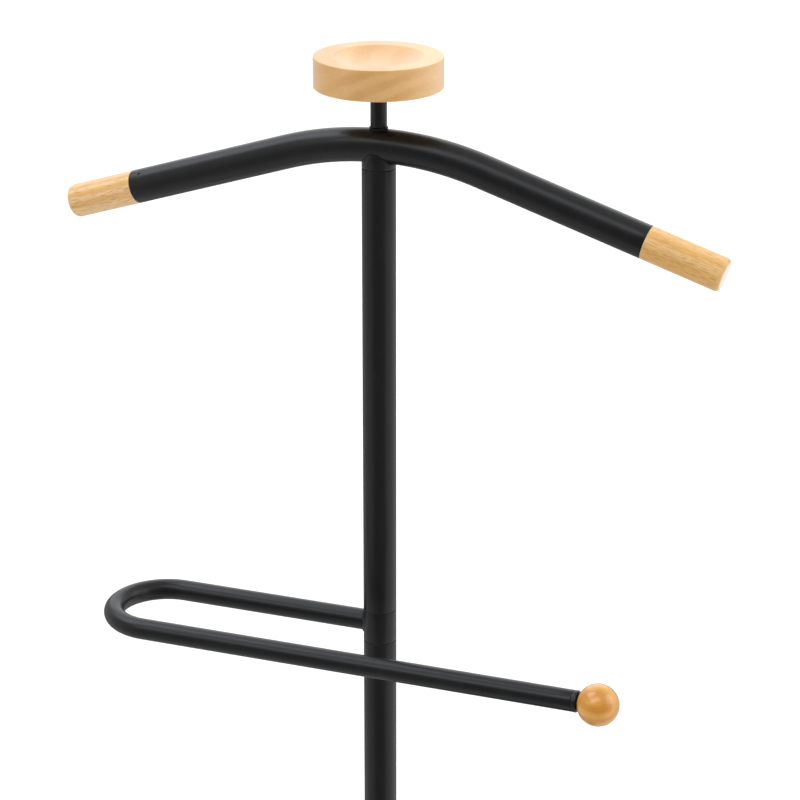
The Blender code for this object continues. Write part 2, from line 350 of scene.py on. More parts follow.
coatLook = {
    "colour": rgb(0.0068, 0.0068, 0.0072),
    "rubbed": rgb(0.0095, 0.0095, 0.0100),
    "dust": rgb(0.0090, 0.0090, 0.0093),
    "roughness": (0.27, 0.32),
    "rubShine": 0.08,           # how much smoother a rubbed edge is
    "specular": 0.25,
    "peelSize": 1900,
    "peelDepth": 0.00003,
    "gritSize": 5130,
    "gritShare": 0.35,
    "cloudSize": 38,
    "smearSize": 95,
    "smearStretch": 3.5,
    "bump": 0.5,
}


def blackCoat(name, look, seed=0.0):
    # satin powder coat: fine orange peel, faint handling marks, rubbed edges
    material, tree, shader = newMaterial(name, Specular_IOR_Level=look["specular"])
    point = localPoint(tree, shift=(seed, seed * 0.7, 0))
    smearPoint = localPoint(tree, stretch=(1, 1, look["smearStretch"]), shift=(0, seed, 0))
    peel = noise(tree, point, look["peelSize"], 2.0, 0.55)
    grit = noise(tree, point, look["gritSize"], 1.0)
    cloud = noise(tree, point, look["cloudSize"], 3.0, 0.6, 0.4)
    smear = noise(tree, smearPoint, look["smearSize"], 4.0, 0.62, 0.8)
    wear = combine(tree, "MULTIPLY", edgeWear(tree), remap(tree, cloud, 0.35, 0.65, 0.25, 1.0))
    colour = blendColour(tree, remap(tree, smear, 0.45, 0.75), look["colour"], look["dust"])
    colour = blendColour(tree, wear, colour, look["rubbed"])
    tree.links.new(colour, shader.inputs["Base Color"])
    rough = remap(tree, smear, 0.3, 0.7, *look["roughness"])
    rough = combine(tree, "SUBTRACT", rough, combine(tree, "MULTIPLY", wear, look["rubShine"]))
    tree.links.new(rough, shader.inputs["Roughness"])
    height = combine(tree, "ADD", peel, combine(tree, "MULTIPLY", grit, look["gritShare"]))
    bumped(tree, shader, height, look["bump"], look["peelDepth"])
    return material


endWoodLook = {
    "pale": rgb(0.705, 0.460, 0.222),
    "golden": rgb(0.640, 0.362, 0.115),
    "pore": rgb(0.47, 0.215, 0.038),
    "blush": rgb(0.68, 0.408, 0.172),
    "sandedAndLit": rgb(0.84, 0.73, 0.62),
    "sandedAndLitAmount": 0.95,       # paler end grain, partly sanded wood and partly a painted highlight for the light on the end faces
    "sandedAndLitFrom": 0.93,         # how squarely a face must meet the grain to show it
    "ringWidth": 0.0060,
    "ringStretch": 9,
    "driftSize": 45,            # slow wander of the rings
    "driftStretch": 6,
    "driftReach": 0.010,
    "cloudSize": 60,            # blotches of colour
    "cloudStretch": 4,
    "fibreSize": 1500,
    "fibreStretch": 34,
    "fibreDepth": 0.00002,
    "streakSize": 760,
    "streakStretch": 20,
    "shade": (0.94, 1.05),      # how far the fibres darken and lighten
    "poreSize": 2100,
    "poreStretch": 15,
    "poreBand": (0.56, 0.62),
    "poreAmount": 0.72,
    "poreSink": 0.8,            # depth of a pore against a fibre
    "roughness": (0.40, 0.54),
    "coat": 0.10,
    "coatRoughness": 0.32,
    "sheen": 0.15,
    "bump": 0.6,
}
rightWoodLook = dict(
    endWoodLook, pale=rgb(0.650, 0.408, 0.162), golden=rgb(0.595, 0.328, 0.080),
    blush=rgb(0.635, 0.382, 0.145), pore=rgb(0.42, 0.185, 0.022))
trayWoodLook = dict(
    endWoodLook, pale=rgb(0.605, 0.345, 0.122), golden=rgb(0.545, 0.285, 0.077),
    blush=rgb(0.580, 0.308, 0.108), sandedAndLitAmount=0.0, ringWidth=0.013, shade=(0.95, 1.04),
    poreStretch=5, poreBand=(0.60, 0.70), poreAmount=0.22, coat=0.22, coatRoughness=0.28, sheen=0.38,
    paintedShade=rgb(0.520, 0.262, 0.045), paintedLight=rgb(0.720, 0.450, 0.200),       # painted shade towards the block's left side and painted light towards its right
    paintedShadeFrom=(-0.022, -0.045), paintedLightFrom=(0.012, 0.046), sideShare=0.75, sideWander=0.006)
ballWoodLook = dict(
    endWoodLook, pale=rgb(0.590, 0.290, 0.038), golden=rgb(0.500, 0.200, 0.015),
    pore=rgb(0.42, 0.165, 0.020), blush=rgb(0.565, 0.250, 0.036), sandedAndLitAmount=0.0, ringWidth=0.011,
    shade=(0.95, 1.04), poreBand=(0.62, 0.72), poreAmount=0.12, fibreDepth=0.00002,
    roughness=(0.30, 0.40), coat=0.65, coatRoughness=0.06, sheen=0.0)
waveTurns = 20              # radians that the wave texture packs into each metre, before its own scale


def limedWood(name, look, seed, turn, pith):
    # solid grain along the turned Z axis: growth rings round a pith, long fibres,
    # short open pores, thin varnish
    material, tree, shader = newMaterial(
        name, Coat_Weight=look["coat"], Coat_Roughness=look["coatRoughness"], Coat_IOR=1.45, IOR=1.47,
        Sheen_Weight=look["sheen"], Sheen_Roughness=0.5)

    def grain(size, stretch, shift, detail=3.0, rough=0.5, warp=0.0):
        return noise(tree, localPoint(tree, turn, (1, 1, stretch), shift), size, detail, rough, warp)

    drift = grain(look["driftSize"], look["driftStretch"], (seed, 0, 0), 2.0, 0.5)
    ringPoint = localPoint(tree, turn, (1, 1, look["ringStretch"]), pith)
    wander = addNode(tree, "VectorMath", {0: drift, 1: (look["driftReach"],) * 3},
                     operation="MULTIPLY").outputs[0]
    warped = addNode(tree, "VectorMath", {0: ringPoint, 1: wander}, operation="ADD").outputs[0]
    rings = addNode(tree, "TexWave", {"Vector": warped, "Scale": math.tau / waveTurns / look["ringWidth"],
                                      "Distortion": 1.4, "Detail": 2.0, "Detail Scale": 2.0},
                    wave_type="RINGS", rings_direction="Z", wave_profile="SIN").outputs["Fac"]
    cloud = grain(look["cloudSize"], look["cloudStretch"], (0, seed, 0), 3.0, 0.55, 0.5)
    fibre = grain(look["fibreSize"], look["fibreStretch"], (seed, seed, 0), 4.0, 0.6)
    streak = grain(look["streakSize"], look["streakStretch"], (seed, 0, seed), 3.0, 0.6)
    pores = grain(look["poreSize"], look["poreStretch"], (0, seed, seed), 1.0, 0.4)

    band = remap(tree, combine(tree, "ADD", rings, cloud), 0.65, 1.35)
    colour = blendColour(tree, band, look["golden"], look["pale"])
    colour = blendColour(tree, remap(tree, cloud, 0.50, 0.72, 0, 0.6), colour, look["blush"])
    if "paintedLight" in look:           # painted light and shade: paler towards the block's right side, where the light is stronger, and darker towards its left
        sideways = reachAlong(tree, addNode(tree, "TexCoord").outputs["Object"],
                              (math.cos(shot["turn"]), math.sin(shot["turn"]), 0))
        wobble = remap(tree, drift, 0.3, 0.7, -look["sideWander"], look["sideWander"])
        sideways = combine(tree, "ADD", sideways, wobble)
        # each side's tone is painted light or painted shade, blended in across the block
        for tone in ("paintedShade", "paintedLight"):
            share = remap(tree, sideways, *look[tone + "From"], 0, look["sideShare"])
            colour = blendColour(tree, share, colour, look[tone])
    colour = shaded(tree, colour, remap(tree, combine(tree, "ADD", fibre, streak), 0.8, 1.2, *look["shade"]))
    openPores = remap(tree, pores, *look["poreBand"])
    colour = blendColour(tree, combine(tree, "MULTIPLY", openPores, look["poreAmount"]), colour, look["pore"])
    # end faces: partly sanded end grain, partly a painted highlight, paler where a face meets the grain
    # squarely
    if look["sandedAndLitAmount"]:
        squareness = reachAlong(tree, addNode(tree, "TexCoord").outputs["Normal"],
                                Euler(turn).to_matrix() @ Vector((0, 0, 1)))
        ends = remap(tree, combine(tree, "ABSOLUTE", squareness, 0), look["sandedAndLitFrom"], 1.0,
                     0, look["sandedAndLitAmount"])
        colour = blendColour(tree, ends, colour, look["sandedAndLit"])
    wear = combine(tree, "MULTIPLY", edgeWear(tree), remap(tree, cloud, 0.35, 0.6, 0.15, 0.5))
    colour = blendColour(tree, wear, colour, look["pale"])
    tree.links.new(colour, shader.inputs["Base Color"])
    tree.links.new(remap(tree, fibre, 0.3, 0.7, *look["roughness"]), shader.inputs["Roughness"])
    height = combine(tree, "SUBTRACT", fibre, combine(tree, "MULTIPLY", openPores, look["poreSink"]))
    bumped(tree, shader, height, look["bump"], look["fibreDepth"])
    return material


metalLook = {
    "toolSize": 3200,           # lathe marks
    "toolStretch": 30,
    "patchSize": 260,
    "speckSize": 2600,
    "raised": rgb(0.86, 0.86, 0.84),
    "raisedShare": 0.5,
    "depth": 0.00003,
    "bump": 0.4,
}
zincLook = dict(metalLook, colour=rgb(0.60, 0.61, 0.62), stain=rgb(0.42, 0.42, 0.40), roughness=(0.26, 0.44))
brassLook = dict(metalLook, colour=rgb(0.78, 0.60, 0.28), stain=rgb(0.48, 0.33, 0.12), roughness=(0.22, 0.40))


def turnedMetal(name, look):
    # lathe marks round the axis, dull patches, brighter raised edges
    material, tree, shader = newMaterial(name, Metallic=1.0)
    point = localPoint(tree)
    tool = noise(tree, localPoint(tree, stretch=(look["toolStretch"], look["toolStretch"], 1)),
                 look["toolSize"], 2.0)
    patch = noise(tree, point, look["patchSize"], 4.0, 0.6, 0.3)
    speck = noise(tree, point, look["speckSize"], 2.0)
    raised = remap(tree, addNode(tree, "NewGeometry").outputs["Pointiness"], 0.51, 0.56)
    colour = blendColour(tree, remap(tree, patch, 0.45, 0.7), look["colour"], look["stain"])
    colour = blendColour(tree, combine(tree, "MULTIPLY", raised, look["raisedShare"]), colour, look["raised"])
    tree.links.new(colour, shader.inputs["Base Color"])
    rough = remap(tree, combine(tree, "ADD", patch, speck), 0.7, 1.3, *look["roughness"])
    tree.links.new(rough, shader.inputs["Roughness"])
    height = combine(tree, "ADD", tool, combine(tree, "MULTIPLY", speck, 0.3))
    bumped(tree, shader, height, look["bump"], look["depth"])
    return material


mouldedLook = {
    "flowSize": 160,            # flow marks
    "flowStretch": 4,
    "flowShare": 0.45,
    "specular": 0.5,
    "size": 1800,
    "depth": 0.00003,
    "bump": 0.5,
}
capLook = dict(mouldedLook, colour=rgb(0.0068, 0.0068, 0.0072), pale=rgb(0.0080, 0.0080, 0.0084),
               roughness=(0.27, 0.32), specular=0.25, size=1900)
# the stem's washer is darker than the coat, partly its own black and partly painted shade for the contact
# shadow round the stem's foot
ringLook = dict(mouldedLook, colour=rgb(0.0040, 0.0040, 0.0042), pale=rgb(0.0060, 0.0060, 0.0062),
                roughness=(0.45, 0.58), specular=0.15, size=2400)
nylonLook = dict(mouldedLook, colour=rgb(0.76, 0.75, 0.70), pale=rgb(0.86, 0.85, 0.82),
                 roughness=(0.42, 0.56))
rubberLook = dict(mouldedLook, colour=rgb(0.020, 0.020, 0.020), pale=rgb(0.055, 0.054, 0.052),
                  roughness=(0.70, 0.90), specular=0.4, size=1300, depth=0.00010)


def moulded(name, look):
    # moulded skin: fine grain, faint flow marks, scuffed edges
    material, tree, shader = newMaterial(name, Specular_IOR_Level=look["specular"])
    grain = noise(tree, localPoint(tree), look["size"], 3.0, 0.6)
    flow = noise(tree, localPoint(tree, stretch=(1, 1, look["flowStretch"])), look["flowSize"], 3.0, 0.6, 0.6)
    scuff = combine(tree, "MULTIPLY", edgeWear(tree), remap(tree, flow, 0.4, 0.65))
    marks = remap(tree, flow, 0.4, 0.8, 0, look["flowShare"])
    colour = blendColour(tree, marks, look["colour"], look["pale"])
    colour = blendColour(tree, scuff, colour, look["pale"])
    tree.links.new(colour, shader.inputs["Base Color"])
    tree.links.new(remap(tree, flow, 0.3, 0.7, *look["roughness"]), shader.inputs["Roughness"])
    bumped(tree, shader, grain, look["bump"], look["depth"])
    return material


# the last two values of a wood are the turn of its grain and the place of its pith
postCoat = blackCoat("postCoat", coatLook, 0.0)
barCoat = blackCoat("barCoat", coatLook, 0.37)
legCoat = blackCoat("legCoat", coatLook, 0.81)
leftWood = limedWood("leftEndWood", endWoodLook, 0.13, (0, math.radians(72.3), 0), (-0.20, 0.016, 0.98))
rightWood = limedWood("rightEndWood", rightWoodLook, 0.57, (0, math.radians(107.7), 0), (0.20, 0.022, 0.97))
trayWood = limedWood("trayWood", trayWoodLook, 0.29, (math.radians(90), 0, shot["turn"]), (0.06, 0, 0.96))
ballWood = limedWood("ballWood", ballWoodLook, 0.71, (0, math.radians(90), 0),
                     (0.2, legY - 0.012, trouserZ + 0.01))
zincPlate = turnedMetal("zincPlate", zincLook)
turnedBrass = turnedMetal("turnedBrass", brassLook)
blackPlastic = moulded("blackPlastic", capLook)
ringPlastic = moulded("ringPlastic", ringLook)
whiteNylon = moulded("whiteNylon", nylonLook)
footRubber = moulded("footRubber", rubberLook)
print("finishes mixed")


tray = {
    "sides": 192,
    "step": 0.0035,             # longest stretch of the outline
    "dishRadius": 0.033,
    "dishDepth": 0.0065,
    "dishSteps": 20,
    "lip": 0.0009,
    "edge": 0.0006,
    "hole": 0.0048,
    "holeDepth": 0.0093,
    "holeEdge": 0.0003,
}


def makeTray():
    low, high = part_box("tray_dish")
    radius = radiusOf("tray_dish")
    mouth, depth = tray["dishRadius"], tray["dishDepth"]
    ball = (mouth ** 2 + depth ** 2) / (2 * depth)          # the dish is part of a ball
    half = math.asin(mouth / ball)
    bowl = []
    for step in range(tray["dishSteps"]):
        angle = half * step / tray["dishSteps"]
        bowl.append((ball * math.sin(angle), high.z - depth + ball - ball * math.cos(angle), 0.0))
    hole = low.z + tray["holeDepth"]
    corners = bowl + [(mouth, high.z, tray["lip"]), (radius, high.z, tray["edge"]),
                      (radius, low.z, tray["edge"]), (tray["hole"], low.z, tray["holeEdge"]),
                      (tray["hole"], hole, 0.0), (0.0, hole, 0.0)]
    outline = spaced(roundedOff(corners), tray["step"])
    piece = turnRound("tray_block", outline, tray["sides"], trayWood)
    place(piece, "hanger_head", "pale_wood", "tray_dish")


stem = {
    "sides": 64,
    "step": 0.004,
    "edge": 0.0004,
    "boreEdge": 0.0002,
    "footBore": 0.0043,
    "footDepth": 0.012,
    "headBore": 0.0033,
    "headDepth": 0.010,
}


def makeStem():
    low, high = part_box("tray_stem")
    radius = radiusOf("tray_stem")
    foot, head, edge = stem["footBore"], stem["headBore"], stem["boreEdge"]
    ceiling = low.z + stem["footDepth"]
    floor = high.z - stem["headDepth"]
    corners = [(0.0, ceiling, 0), (foot, ceiling, 0), (foot, low.z, edge),
               (radius, low.z, stem["edge"]), (radius, high.z, stem["edge"]),
               (head, high.z, edge), (head, floor, 0), (0.0, floor, 0)]
    piece = turnRound("stem_rod", spaced(roundedOff(corners), stem["step"]), stem["sides"], barCoat)
    place(piece, "hanger_head", "black_coat", "tray_stem")


shoulder = {
    "bend": 0.250,              # radius of the bend
    "slope": math.radians(17.7),
    "wall": 0.0012,
    "sides": 72,
    "bendSteps": 24,
    "armSteps": 16,
    "studHole": 0.0043,
    "studReach": 0.03,          # the drill passes this far above and below the centre line
}
armLength = ((barHigh.x - barLow.x) / 2 - (shoulder["bend"] + postRadius) * math.sin(shoulder["slope"])) \
    / math.cos(shoulder["slope"])


def barStation(angle, slide=0.0):
    # a place on the bar's centre line: angle round the bend, then slide along the tangent there
    tangent = Vector((math.cos(angle), 0, -math.sin(angle)))
    up = Vector((math.sin(angle), 0, math.cos(angle)))
    centre = Vector((crownX, 0, crownZ - shoulder["bend"])) + shoulder["bend"] * up + slide * tangent
    return centre, Vector((0, 1, 0)), up, tangent


def armMatrix(side, slide):
    # Z runs outwards along one arm and X upwards across it
    centre, _, up, tangent = barStation(side * shoulder["slope"], side * slide)
    outward = side * tangent
    matrix = Matrix((up, outward.cross(up), outward)).transposed().to_4x4()
    matrix.translation = centre
    return matrix


pin = {
    "sides": 24,
    "radius": 0.0008,
    "inset": 0.0085,            # from the end of the tube
    "tilt": math.radians(36),   # from the tube's top: to the front at the left, to the back at the right
    "depth": 0.009,
    "sunk": 0.0004,
    "edge": 0.0002,
    "dome": 0.0001,
    "domeEdge": 0.0003,
    "drillPast": 0.002,         # the drill starts this far outside the tube
}


def pinMatrix(side):
    centre, across, up, _ = barStation(side * shoulder["slope"], side * (armLength - pin["inset"]))
    outward = math.cos(pin["tilt"]) * up + side * math.sin(pin["tilt"]) * across
    lengthwise = across.cross(up)
    matrix = Matrix((lengthwise, outward.cross(lengthwise), outward)).transposed().to_4x4()
    matrix.translation = centre
    return matrix


def drillPin(piece, side, floor):
    drill(piece, pin["radius"] + fit, floor, postRadius + pin["drillPast"], pinMatrix(side), pin["sides"])


def makeShoulderBar():
    slope = shoulder["slope"]
    steps = shoulder["bendSteps"]
    reaches = [armLength * step / shoulder["armSteps"] for step in range(shoulder["armSteps"], 0, -1)]
    stations = [barStation(-slope, -reach) for reach in reaches]
    stations += [barStation(slope * (2 * step / steps - 1)) for step in range(steps + 1)]
    stations += [barStation(slope, reach) for reach in reversed(reaches)]
    piece = sweepTube("shoulder_bar", stations, postRadius, postRadius - shoulder["wall"],
                      shoulder["sides"], barCoat)
    drill(piece, shoulder["studHole"], crownZ - shoulder["studReach"], crownZ + shoulder["studReach"],
          Matrix.Identity(4))
    for side in (-1, 1):
        drillPin(piece, side, 0.0)
    place(piece, "hanger_head", "black_coat", "hanger_bar")


woodEnd = {
    "sides": 72,
    "step": 0.003,
    "spigot": 0.030,
    "spigotEdge": 0.0008,
    "shoulderEdge": 0.00025,
    "tip": 0.003,
    "tipSteps": 8,
}


def makeWoodEnd(side, word, material):
    node = f"hanger_end_{word}"
    low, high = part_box(node)
    reach = abs((low.x if side < 0 else high.x) - crownX)
    slope = shoulder["slope"]
    tip = woodEnd["tip"]
    start = (shoulder["bend"] * math.sin(slope) + (armLength + fit) * math.cos(slope)
             + (postRadius - tip) * math.sin(slope) + tip)
    length = (reach - start) / math.cos(slope) + tip
    plug = postRadius - shoulder["wall"] - fit
    back = -woodEnd["spigot"]
    corners = [(0.0, back, 0), (plug, back, woodEnd["spigotEdge"]), (plug, 0.0, 0),
               (postRadius, 0.0, woodEnd["shoulderEdge"]), (postRadius, length, tip), (0.0, length, 0)]
    outline = spaced(roundedOff(corners, woodEnd["tipSteps"]), woodEnd["step"])
    piece = turnRound(f"wood_end_{word}", outline, woodEnd["sides"], material,
                      armMatrix(side, armLength + fit))
    drillPin(piece, side, postRadius - pin["depth"] - fit)
    place(piece, "hanger_head", "pale_wood", node)


def makePin(side, word):
    radius = pin["radius"]
    foot = postRadius - pin["depth"]
    top = postRadius - pin["sunk"]
    corners = [(0.0, foot, 0), (radius, foot, pin["edge"]), (radius, top - pin["dome"], pin["domeEdge"]),
               (0.0, top, 0)]
    piece = turnRound(f"dowel_pin_{word}", roundedOff(corners), pin["sides"], barCoat, pinMatrix(side))
    place(piece, "hanger_head", "black_coat", f"end_pin_{word}")


saddle = {
    "sides": 96,
    "bore": 0.0043,
    "spigot": 0.010,
    "spigotEdge": 0.0004,
    "footEdge": 0.0003,
    "edge": 0.00025,
    "edgeShares": (0.3, 0.7, 1.0),
    "copeSteps": 7,
    "horn": 0.0045,             # the horns stop this far below the bar's centre line
}


def barSurface(x, y, side):
    # height of the bar's skin, with its fit, above (side 1) or below (side -1) the centre line
    rise = side * math.sqrt(max((postRadius + fit) ** 2 - y ** 2, 0.0))
    return crownZ - shoulder["bend"] + math.sqrt((shoulder["bend"] + rise) ** 2 - (x - crownX) ** 2)


def makeSaddle():
    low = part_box("hanger_saddle")[0]
    radius = radiusOf("hanger_saddle")
    plug = postRadius - shoulder["wall"] - fit
    foot = low.z + saddle["spigot"] + fit / 2
    bore, edge = saddle["bore"], saddle["edge"]
    outlines = []
    for index in range(saddle["sides"]):
        angle = math.tau * index / saddle["sides"]

        def copedTo(across):
            surface = barSurface(across * math.cos(angle), across * math.sin(angle), -1)
            return min(surface, crownZ - saddle["horn"])

        outline = roundedOff([(bore, low.z, 0), (plug, low.z, saddle["spigotEdge"]), (plug, foot, 0),
                              (radius, foot, saddle["footEdge"]), (radius, copedTo(radius) - edge, 0)], 3)
        for share in saddle["edgeShares"]:
            across = radius - edge * (1 - math.cos(share * math.pi / 2))
            outline.append((across, copedTo(radius) - edge * (1 - math.sin(share * math.pi / 2)), 1.0))
        for step in range(1, saddle["copeSteps"] + 1):
            across = radius - edge + (bore - radius + edge) * step / saddle["copeSteps"]
            outline.append((across, copedTo(across), 0.0))
        outlines.append(outline)
    place(loftRound("saddle_block", outlines, postCoat), "hanger_head", "black_coat", "hanger_saddle")


stemRing = {
    "sides": 72,
    "boreEdge": 0.0001,
    "edge": 0.0002,
    "footEdge": 0.0001,
}


def makeStemRing():
    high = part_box("stem_washer")[1]
    radius = radiusOf("stem_washer")
    bore = saddle["bore"]
    outlines = []
    for index in range(stemRing["sides"]):
        angle = math.tau * index / stemRing["sides"]
        inner = barSurface(bore * math.cos(angle), bore * math.sin(angle), 1)
        outer = barSurface(radius * math.cos(angle), radius * math.sin(angle), 1)
        corners = [(bore, inner, 0), (bore, high.z, stemRing["boreEdge"]), (radius, high.z, stemRing["edge"]),
                   (radius, outer, stemRing["footEdge"])]
        outlines.append(roundedOff(corners, 3, True))
    place(loftRound("stem_ring", outlines, ringPlastic), "hanger_head", "black_plastic", "stem_washer")


post = {
    "sides": 96,
    "step": 0.012,
    "wall": 0.0012,
    "edge": 0.00035,
    "boreEdge": 0.0002,
}


def makeTube(name, node, bore, material, body):
    low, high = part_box(node)
    radius = radiusOf(node)
    corners = [(bore, low.z, post["boreEdge"]), (radius, low.z, post["edge"]),
               (radius, high.z, post["edge"]), (bore, high.z, post["boreEdge"])]
    outline = spaced(roundedOff(corners, 4, True), post["step"], True)
    place(turnRound(name, outline, post["sides"], material, closed=True), body, "black_coat", node)


def makePost():
    inner = postRadius - post["wall"]
    makeTube("post_upper", "upper_post_tube", inner, postCoat, "stand")
    makeTube("post_lower", "lower_post_tube", inner, postCoat, "stand")
    makeTube("collar_tube", "trouser_collar", radiusOf("collar_bush") + fit, legCoat, "trouser_arm")


trouser = {
    "sides": 56,
    "wall": 0.0012,
    "rim": 0.00012,
    "rearSteps": 13,
    "turnSteps": 40,
    "legSteps": 30,
}


def makeTrouserBar():
    low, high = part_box("trouser_bar")
    radius = -legY / 2
    turnX = low.x + legRadius + radius
    up = Vector((0, 0, 1))
    collarSkin = postRadius + fit

    def coped(spot):
        return Vector((-math.sqrt(collarSkin ** 2 - spot.y ** 2), spot.y, spot.z))

    stations = []
    for step in range(trouser["rearSteps"]):
        x = -collarSkin + (turnX + collarSkin) * step / trouser["rearSteps"]
        stations.append((Vector((x, 0, trouserZ)), Vector((0, 1, 0)), up, Vector((-1, 0, 0))))
    for step in range(trouser["turnSteps"] + 1):
        angle = math.pi * (0.5 + step / trouser["turnSteps"])
        outward = Vector((math.cos(angle), math.sin(angle), 0))
        onward = Vector((-math.sin(angle), math.cos(angle), 0))
        stations.append((Vector((turnX, -radius, trouserZ)) + radius * outward, outward, up, onward))
    for step in range(1, trouser["legSteps"] + 1):
        x = turnX + (high.x - turnX) * step / trouser["legSteps"]
        stations.append((Vector((x, legY, trouserZ)), Vector((0, -1, 0)), up, Vector((1, 0, 0))))
    piece = sweepTube("trouser_rail", stations, legRadius, legRadius - trouser["wall"], trouser["sides"],
                      legCoat, trouser["rim"], coped)
    place(piece, "trouser_arm", "black_coat", "trouser_bar")


weld = {
    "size": 0.0016,
    "ripples": 40,
    "rippleDepth": 0.00012,
    "steps": 200,
    "curveSteps": 8,
    "belly": 0.36,              # how far the bead bulges, as a share of its size
    "rooted": 0.0002,           # how far its root lies inside both pieces
    "sunk": 0.00005,            # and its two toes
    "worn": 0.3,
}


def makeWeld():
    # a rippled fillet round the foot of the rear leg, coated over
    bm = bmesh.new()
    worn = bm.verts.layers.float.new("worn")
    rings = []
    for step in range(weld["steps"]):
        turn = math.tau * step / weld["steps"]
        spoke = Vector((0, math.cos(turn), math.sin(turn)))
        y = legRadius * spoke.y
        root = Vector((-math.sqrt(postRadius ** 2 - y ** 2), y, trouserZ + legRadius * spoke.z))
        wall = Vector((root.x, root.y, 0)).normalized()
        size = weld["size"] + weld["rippleDepth"] * math.sin(turn * weld["ripples"])
        onWall = root + size * spoke
        onWall = Vector((-math.sqrt(postRadius ** 2 - onWall.y ** 2), onWall.y, onWall.z))
        onWall -= weld["sunk"] * wall
        onLeg = root + Vector((-size, 0, 0)) - weld["sunk"] * spoke
        middle = root + (spoke + Vector((-1, 0, 0))) * size * weld["belly"]
        ring = [bm.verts.new(root - weld["rooted"] * spoke - weld["rooted"] * wall)]
        for index in range(weld["curveSteps"] + 1):
            share = index / weld["curveSteps"]
            point = (1 - share) ** 2 * onWall + 2 * share * (1 - share) * middle + share ** 2 * onLeg
            vert = bm.verts.new(point)
            vert[worn] = weld["worn"]
            ring.append(vert)
        rings.append(ring)
    skin(bm, rings)
    place(finishMesh("collar_weld", bm, legCoat), "trouser_arm", "black_coat")


legEnd = {
    "sides": 64,
    "step": 0.003,
    "flange": 0.0037,           # the part of the cap that shows
    "flare": 0.0024,            # the cap swells to its full size over this length
    "flareRound": 0.0060,
    "seamEdge": 0.00005,
    "capRound": 0.0012,
    "spigot": 0.012,
    "spigotEdge": 0.0005,
    "bore": 0.0023,
    "boreEdge": 0.0002,
}
knob = {
    "sides": 96,
    "steps": 48,
    "socket": 0.011,
}


def makeLegEnd():
    turned = Matrix.Translation((0, legY, trouserZ)) @ Matrix.Rotation(math.pi / 2, 4, "Y")
    capRadius = radiusOf("bar_end_cap")
    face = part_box("bar_end_cap")[1].x
    flange = face - legEnd["flange"]
    back = flange - legEnd["spigot"]
    plug = legRadius - trouser["wall"] - fit
    bore, edge = legEnd["bore"], legEnd["boreEdge"]
    corners = [(bore, back, edge), (plug, back, legEnd["spigotEdge"]), (plug, flange, 0),
               (legRadius, flange, legEnd["seamEdge"]),
               (capRadius, flange + legEnd["flare"], legEnd["flareRound"]),
               (capRadius, face, legEnd["capRound"]), (bore, face, edge)]
    outline = spaced(roundedOff(corners, 6, True), legEnd["step"], True)
    cap = turnRound("leg_cap", outline, legEnd["sides"], blackPlastic, turned, True)
    place(cap, "trouser_arm", "black_plastic", "bar_end_cap")

    low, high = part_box("trouser_ball")
    radius = (high.z - low.z) / 2
    centre = high.x - radius
    start = math.acos((centre - low.x) / radius)        # where the ball is cut flat for the cap
    outline = [(0.0, low.x + knob["socket"], 0.0), (bore, low.x + knob["socket"], 0.0), (bore, low.x, 0.0)]
    for step in range(knob["steps"]):
        angle = start + (math.pi - start) * step / knob["steps"]
        outline.append((radius * math.sin(angle), centre - radius * math.cos(angle), 0.0 if step else 1.0))
    outline.append((0.0, centre + radius, 0.0))
    place(turnRound("wood_ball", outline, knob["sides"], ballWood, turned),
          "trouser_arm", "honey_wood", "trouser_ball")


base = {
    "sides": 192,
    "step": 0.006,
    "round": 0.004,
    "roundSteps": 8,
    "chamfer": 0.001,
    "bore": 0.0043,
    "boreEdge": 0.0002,
    "counterbore": 0.0095,
    "counterboreDepth": 0.005,
    "counterboreEdge": 0.0003,
}


def makeBase():
    low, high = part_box("base_plate")
    radius = radiusOf("base_plate")
    ceiling = low.z + base["counterboreDepth"]
    corners = [(base["bore"], ceiling, 0), (base["counterbore"], ceiling, 0),
               (base["counterbore"], low.z, base["counterboreEdge"]), (radius, low.z, base["chamfer"]),
               (radius, high.z, base["round"]), (base["bore"], high.z, base["boreEdge"])]
    outline = spaced(roundedOff(corners, base["roundSteps"], True), base["step"], True)
    piece = turnRound("base_disc", outline, base["sides"], postCoat, closed=True)
    place(piece, "stand", "black_coat", "base_plate")


pad = {
    "count": 4,
    "sides": 72,
    "step": 0.002,
    "grooves": (0.004, 0.0075),
    "grooveHalf": 0.0005,
    "grooveDepth": 0.0004,
    "grooveEdge": 0.0002,
    "edge": 0.0009,
    "topEdge": 0.0003,
}


def makePads():
    for number in range(1, pad["count"] + 1):
        node = f"floor_pad_{number}"
        low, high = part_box(node)
        centre = middleOf(node)
        radius = radiusOf(node)
        half, edge = pad["grooveHalf"], pad["grooveEdge"]
        corners = [(0.0, low.z, 0)]
        for groove in pad["grooves"]:
            corners += [(groove - half, low.z, edge), (groove, low.z + pad["grooveDepth"], edge),
                        (groove + half, low.z, edge)]
        corners += [(radius, low.z, pad["edge"]), (radius, high.z, pad["topEdge"]), (0.0, high.z, 0)]
        piece = turnRound(f"rubber_foot_{number}", spaced(roundedOff(corners), pad["step"]), pad["sides"],
                          footRubber, Matrix.Translation((centre.x, centre.y, 0)))
        place(piece, "stand", "rubber", node)


makeTray()
makeStem()
print("tray and stem turned")
makeShoulderBar()
for side, word, material in ((-1, "left", leftWood), (1, "right", rightWood)):
    makeWoodEnd(side, word, material)
    makePin(side, word)
makeSaddle()
makeStemRing()
print("shoulder bar bent, ends and saddle fitted")
makePost()
makeTrouserBar()
makeWeld()
makeLegEnd()
print("post, collar and trouser bar in place")
makeBase()
makePads()
print("base and feet in place")

